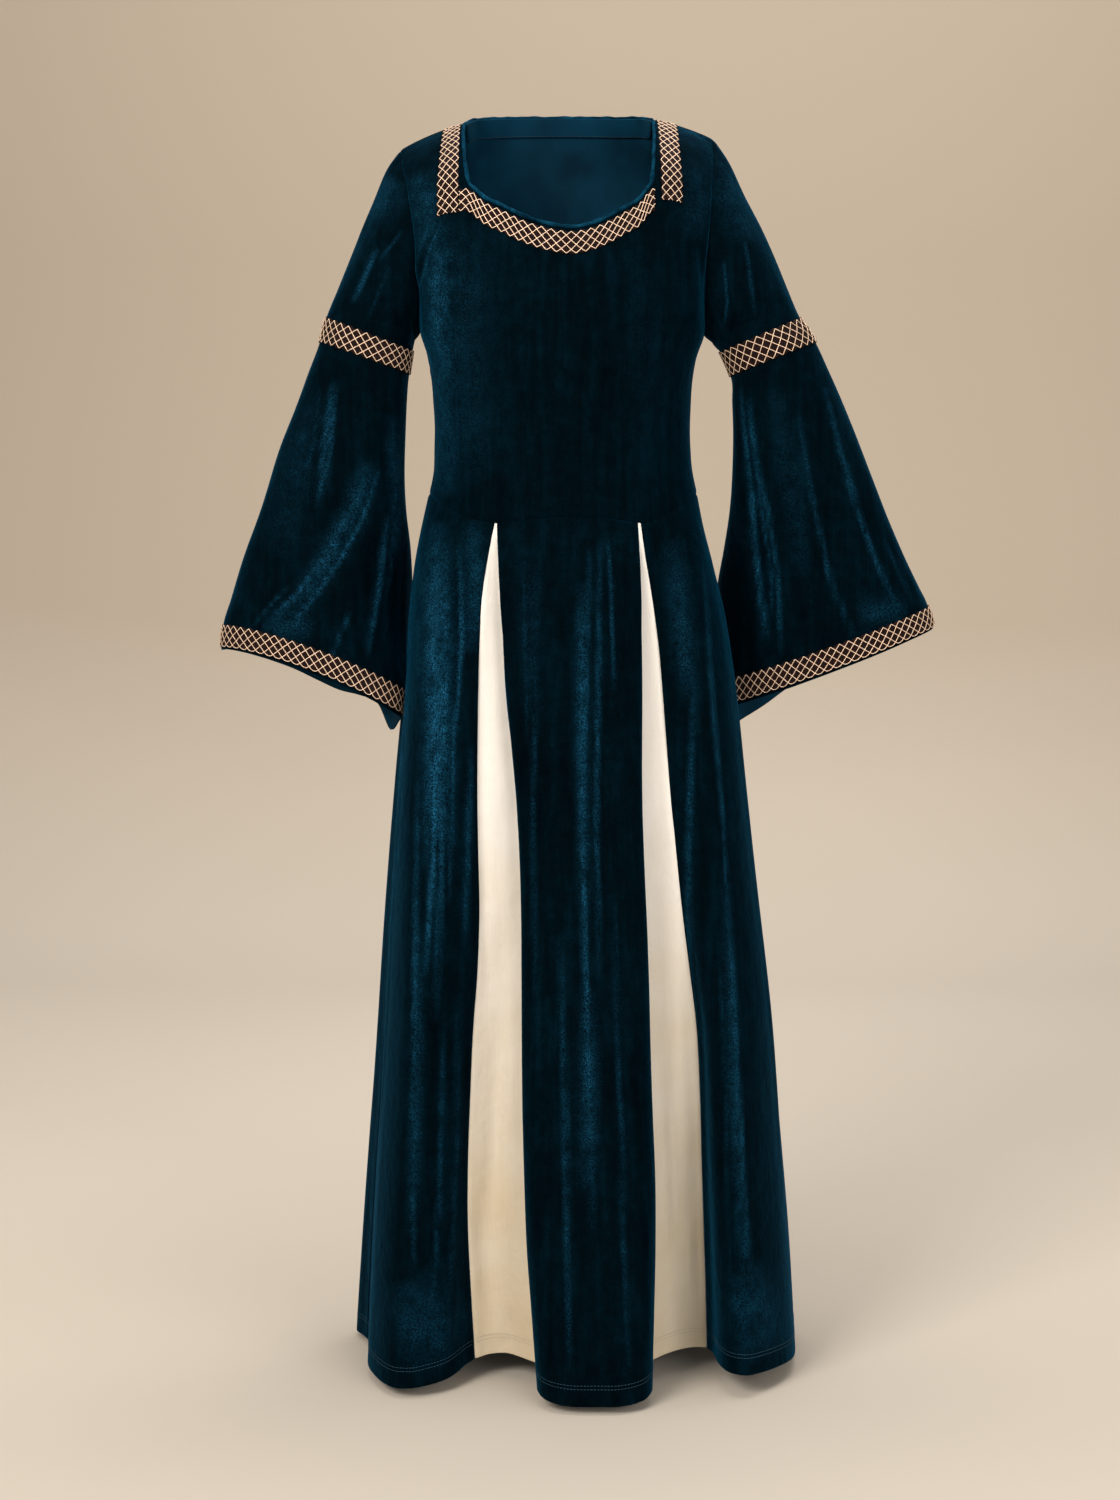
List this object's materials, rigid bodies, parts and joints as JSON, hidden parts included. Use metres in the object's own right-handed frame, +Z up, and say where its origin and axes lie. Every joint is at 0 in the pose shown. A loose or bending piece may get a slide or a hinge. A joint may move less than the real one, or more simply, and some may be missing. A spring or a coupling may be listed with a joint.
{
  "type": "medieval gown",
  "caption": "Full-length velvet gown with bell sleeves, shaped waist seam, cream godets in the skirt and lattice braid at the neck, arms and cuffs.",
  "frame": {"origin": "midway between the two shoulder seams, level with their inner ends at the neck, where the wearer's shoulders hold the gown", "axes": "+X to the wearer's left, +Y to the back, the front faces -Y, +Z up"},
  "size_m": [0.8353, 0.4426, 1.4398],
  "materials": {
    "velvet": "stretch pile velvet, deep petrol teal, smooth knitted back",
    "velvet_facing": "knitted back of the same velvet, turned in at the back neck",
    "cream_cloth": "plain woven cream cloth",
    "lattice_trim": "woven braid, dark brown with a raised copper lattice"
  },
  "bodies": {
    "root": {"bodice_front": "velvet", "bodice_back": "velvet", "upper_sleeve_right": "velvet", "lower_sleeve_right": "velvet", "upper_sleeve_left": "velvet", "lower_sleeve_left": "velvet", "skirt_side_right": "velvet", "godet_right": "cream_cloth", "skirt_centre": "velvet", "godet_left": "cream_cloth", "skirt_side_left": "velvet", "skirt_back": "velvet", "neck_trim": "lattice_trim", "strap_trim_right": "lattice_trim", "strap_trim_left": "lattice_trim", "back_neck_facing": "velvet_facing", "arm_band_right": "lattice_trim", "hem_trim_right": "lattice_trim", "arm_band_left": "lattice_trim", "hem_trim_left": "lattice_trim"}
  },
  "joints": []
}
